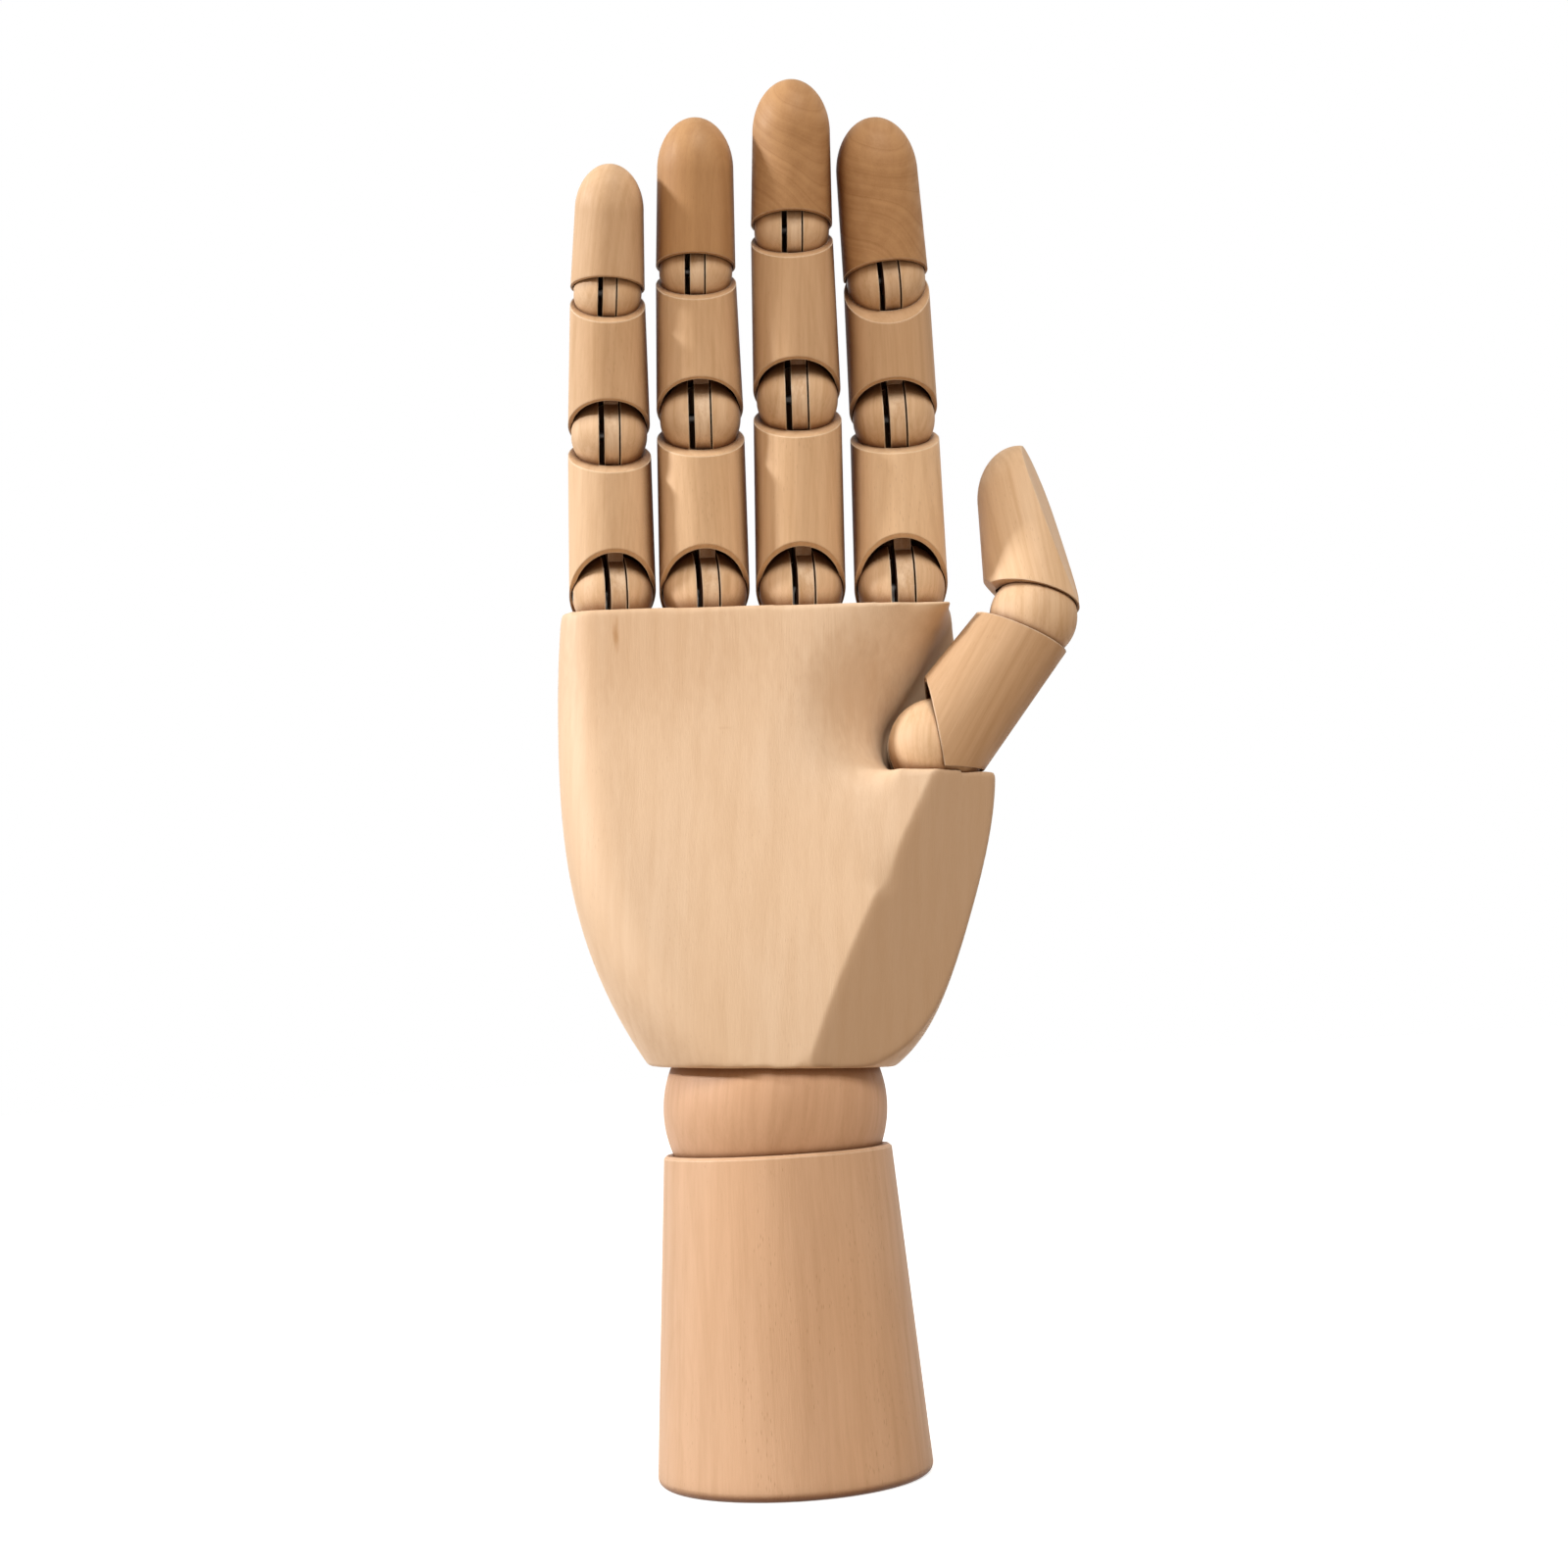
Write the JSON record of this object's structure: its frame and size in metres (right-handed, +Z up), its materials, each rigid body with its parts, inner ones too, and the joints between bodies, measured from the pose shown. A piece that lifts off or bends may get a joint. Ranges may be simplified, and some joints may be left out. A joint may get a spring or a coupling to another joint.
{
  "type": "wooden hand mannequin",
  "caption": "Jointed wooden right hand for drawing practice, with ball-jointed fingers and thumb on a cone-shaped forearm that it stands on",
  "frame": {"origin": "centre of the forearm's flat underside, which it stands on", "axes": "+Z up along the forearm's axis, -Y is the palm side, +X the thumb side"},
  "size_m": [0.1, 0.058, 0.2558],
  "materials": {
    "wood": "pale close-grained hardwood, fine sanded, no varnish",
    "steel": "plain drawn steel"
  },
  "bodies": {
    "forearm": {"forearm": "wood"},
    "wrist_spring": {"wrist_spring": "steel"},
    "wrist_ball": {"wrist_ball": "wood"},
    "palm": {"palm": "wood"},
    "pinky_knuckle": {"pinky_first_ball": "wood", "pinky_base_tie": "steel"},
    "pinky_first": {"pinky_first_phalanx": "wood", "pinky_first_tongue": "wood", "pinky_second_ball": "wood", "pinky_second_pin": "steel"},
    "pinky_second": {"pinky_second_phalanx": "wood", "pinky_second_tongue": "wood", "pinky_third_ball": "wood", "pinky_third_pin": "steel"},
    "pinky_tip": {"pinky_tip": "wood", "pinky_third_tongue": "wood"},
    "ring_knuckle": {"ring_first_ball": "wood", "ring_base_tie": "steel"},
    "ring_first": {"ring_first_phalanx": "wood", "ring_first_tongue": "wood", "ring_second_ball": "wood", "ring_second_pin": "steel"},
    "ring_second": {"ring_second_phalanx": "wood", "ring_second_tongue": "wood", "ring_third_ball": "wood", "ring_third_pin": "steel"},
    "ring_tip": {"ring_tip": "wood", "ring_third_tongue": "wood"},
    "middle_knuckle": {"middle_first_ball": "wood", "middle_base_tie": "steel"},
    "middle_first": {"middle_first_phalanx": "wood", "middle_first_tongue": "wood", "middle_second_ball": "wood", "middle_second_pin": "steel"},
    "middle_second": {"middle_second_phalanx": "wood", "middle_second_tongue": "wood", "middle_third_ball": "wood", "middle_third_pin": "steel"},
    "middle_tip": {"middle_tip": "wood", "middle_third_tongue": "wood"},
    "index_knuckle": {"index_first_ball": "wood", "index_base_tie": "steel"},
    "index_first": {"index_first_phalanx": "wood", "index_first_tongue": "wood", "index_second_ball": "wood", "index_second_pin": "steel"},
    "index_second": {"index_second_phalanx": "wood", "index_second_tongue": "wood", "index_third_ball": "wood", "index_third_pin": "steel"},
    "index_tip": {"index_tip": "wood", "index_third_tongue": "wood"},
    "thumb_knuckle": {"thumb_first_ball": "wood", "thumb_base_tie": "steel"},
    "thumb_first": {"thumb_first_phalanx": "wood", "thumb_first_tongue": "wood", "thumb_second_ball": "wood", "thumb_second_pin": "steel"},
    "thumb_tip": {"thumb_tip": "wood", "thumb_second_tongue": "wood"}
  },
  "joints": [
    {"name": "wrist_twist", "type": "hinge", "parent": "forearm", "child": "wrist_spring", "pos_m": [0, 0, 0.0679], "axis": [0, 0, 1], "range_deg": [-90, 90]},
    {"name": "wrist_bend", "type": "hinge", "parent": "wrist_spring", "child": "wrist_ball", "pos_m": [0, 0, 0.0679], "axis": [1, 0, 0], "range_deg": [-25, 25], "deforming": ["wrist_spring"]},
    {"name": "wrist_tilt", "type": "hinge", "parent": "wrist_ball", "child": "palm", "pos_m": [0, 0, 0.0679], "axis": [0, 1, 0], "range_deg": [-22, 18], "deforming": ["wrist_spring"]},
    {"name": "pinky_swing", "type": "hinge", "parent": "palm", "child": "pinky_knuckle", "pos_m": [-0.02555, 0, 0.16678], "axis": [-0.1725, 0.985, 0.0017], "range_deg": [-2, 2]},
    {"name": "pinky_first_bend", "type": "hinge", "parent": "pinky_knuckle", "child": "pinky_first", "pos_m": [-0.02555, 0, 0.16678], "axis": [0.985, 0.1725, -0.0013], "range_deg": [-15, 50]},
    {"name": "pinky_second_bend", "type": "hinge", "parent": "pinky_first", "child": "pinky_second", "pos_m": [-0.02415, -0.00777, 0.19603], "axis": [0.9953, 0.0911, -0.0324], "range_deg": [-6, 69]},
    {"name": "pinky_third_bend", "type": "hinge", "parent": "pinky_second", "child": "pinky_tip", "pos_m": [-0.02249, -0.01715, 0.22076], "axis": [0.9938, 0.0866, -0.0695], "range_deg": [-3, 57]},
    {"name": "ring_swing", "type": "hinge", "parent": "palm", "child": "ring_knuckle", "pos_m": [-0.00795, 0, 0.16622], "axis": [-0.1368, 0.9906, 0.002], "range_deg": [-2, 1]},
    {"name": "ring_first_bend", "type": "hinge", "parent": "ring_knuckle", "child": "ring_first", "pos_m": [-0.00795, 0, 0.16622], "axis": [0.9906, 0.1368, -0.001], "range_deg": [-15, 50]},
    {"name": "ring_second_bend", "type": "hinge", "parent": "ring_first", "child": "ring_second", "pos_m": [-0.00675, -0.00852, 0.19808], "axis": [0.9991, 0.0347, -0.0232], "range_deg": [-2, 73]},
    {"name": "ring_third_bend", "type": "hinge", "parent": "ring_second", "child": "ring_tip", "pos_m": [-0.00587, -0.01646, 0.22408], "axis": [0.9981, 0.0262, -0.0549], "range_deg": [-5, 55]},
    {"name": "middle_swing", "type": "hinge", "parent": "palm", "child": "middle_knuckle", "pos_m": [0.01044, 0, 0.16564], "axis": [-0.0848, 0.9964, 0.0022], "range_deg": [-2, 0]},
    {"name": "middle_first_bend", "type": "hinge", "parent": "middle_knuckle", "child": "middle_first", "pos_m": [0.01044, 0, 0.16564], "axis": [0.9963, 0.0848, -0.015], "range_deg": [-15, 50]},
    {"name": "middle_second_bend", "type": "hinge", "parent": "middle_first", "child": "middle_second", "pos_m": [0.01176, -0.00934, 0.20048], "axis": [0.9997, -0.003, -0.0242], "range_deg": [-2, 73]},
    {"name": "middle_third_bend", "type": "hinge", "parent": "middle_second", "child": "middle_tip", "pos_m": [0.01246, -0.0185, 0.23041], "axis": [0.9988, 0.0213, -0.0441], "range_deg": [-5, 55]},
    {"name": "index_swing", "type": "hinge", "parent": "palm", "child": "index_knuckle", "pos_m": [0.02964, 0, 0.16503], "axis": [-0.0175, 0.9998, 0.0001], "range_deg": [0, 8]},
    {"name": "index_first_bend", "type": "hinge", "parent": "index_knuckle", "child": "index_first", "pos_m": [0.02964, 0, 0.16503], "axis": [0.9998, 0.0175, -0.007], "range_deg": [-10, 55]},
    {"name": "index_second_bend", "type": "hinge", "parent": "index_first", "child": "index_second", "pos_m": [0.02996, -0.00556, 0.19655], "axis": [0.9999, -0.0034, 0.0106], "range_deg": [-8, 67]},
    {"name": "index_third_bend", "type": "hinge", "parent": "index_second", "child": "index_tip", "pos_m": [0.02967, -0.0136, 0.22127], "axis": [0.9976, 0.0356, 0.0599], "range_deg": [-4, 56]},
    {"name": "thumb_turn", "type": "hinge", "parent": "palm", "child": "thumb_knuckle", "pos_m": [0.03404, -0.0042, 0.13355], "axis": [0.0576, 0, 0.9983], "range_deg": [-80, 2]},
    {"name": "thumb_first_bend", "type": "hinge", "parent": "thumb_knuckle", "child": "thumb_first", "pos_m": [0.03404, -0.0042, 0.13355], "axis": [0, -1, 0], "range_deg": [0, 6]},
    {"name": "thumb_second_bend", "type": "hinge", "parent": "thumb_first", "child": "thumb_tip", "pos_m": [0.05404, -0.0042, 0.15723], "axis": [-0.3586, -0.8829, 0.303], "range_deg": [-43, 10]}
  ]
}
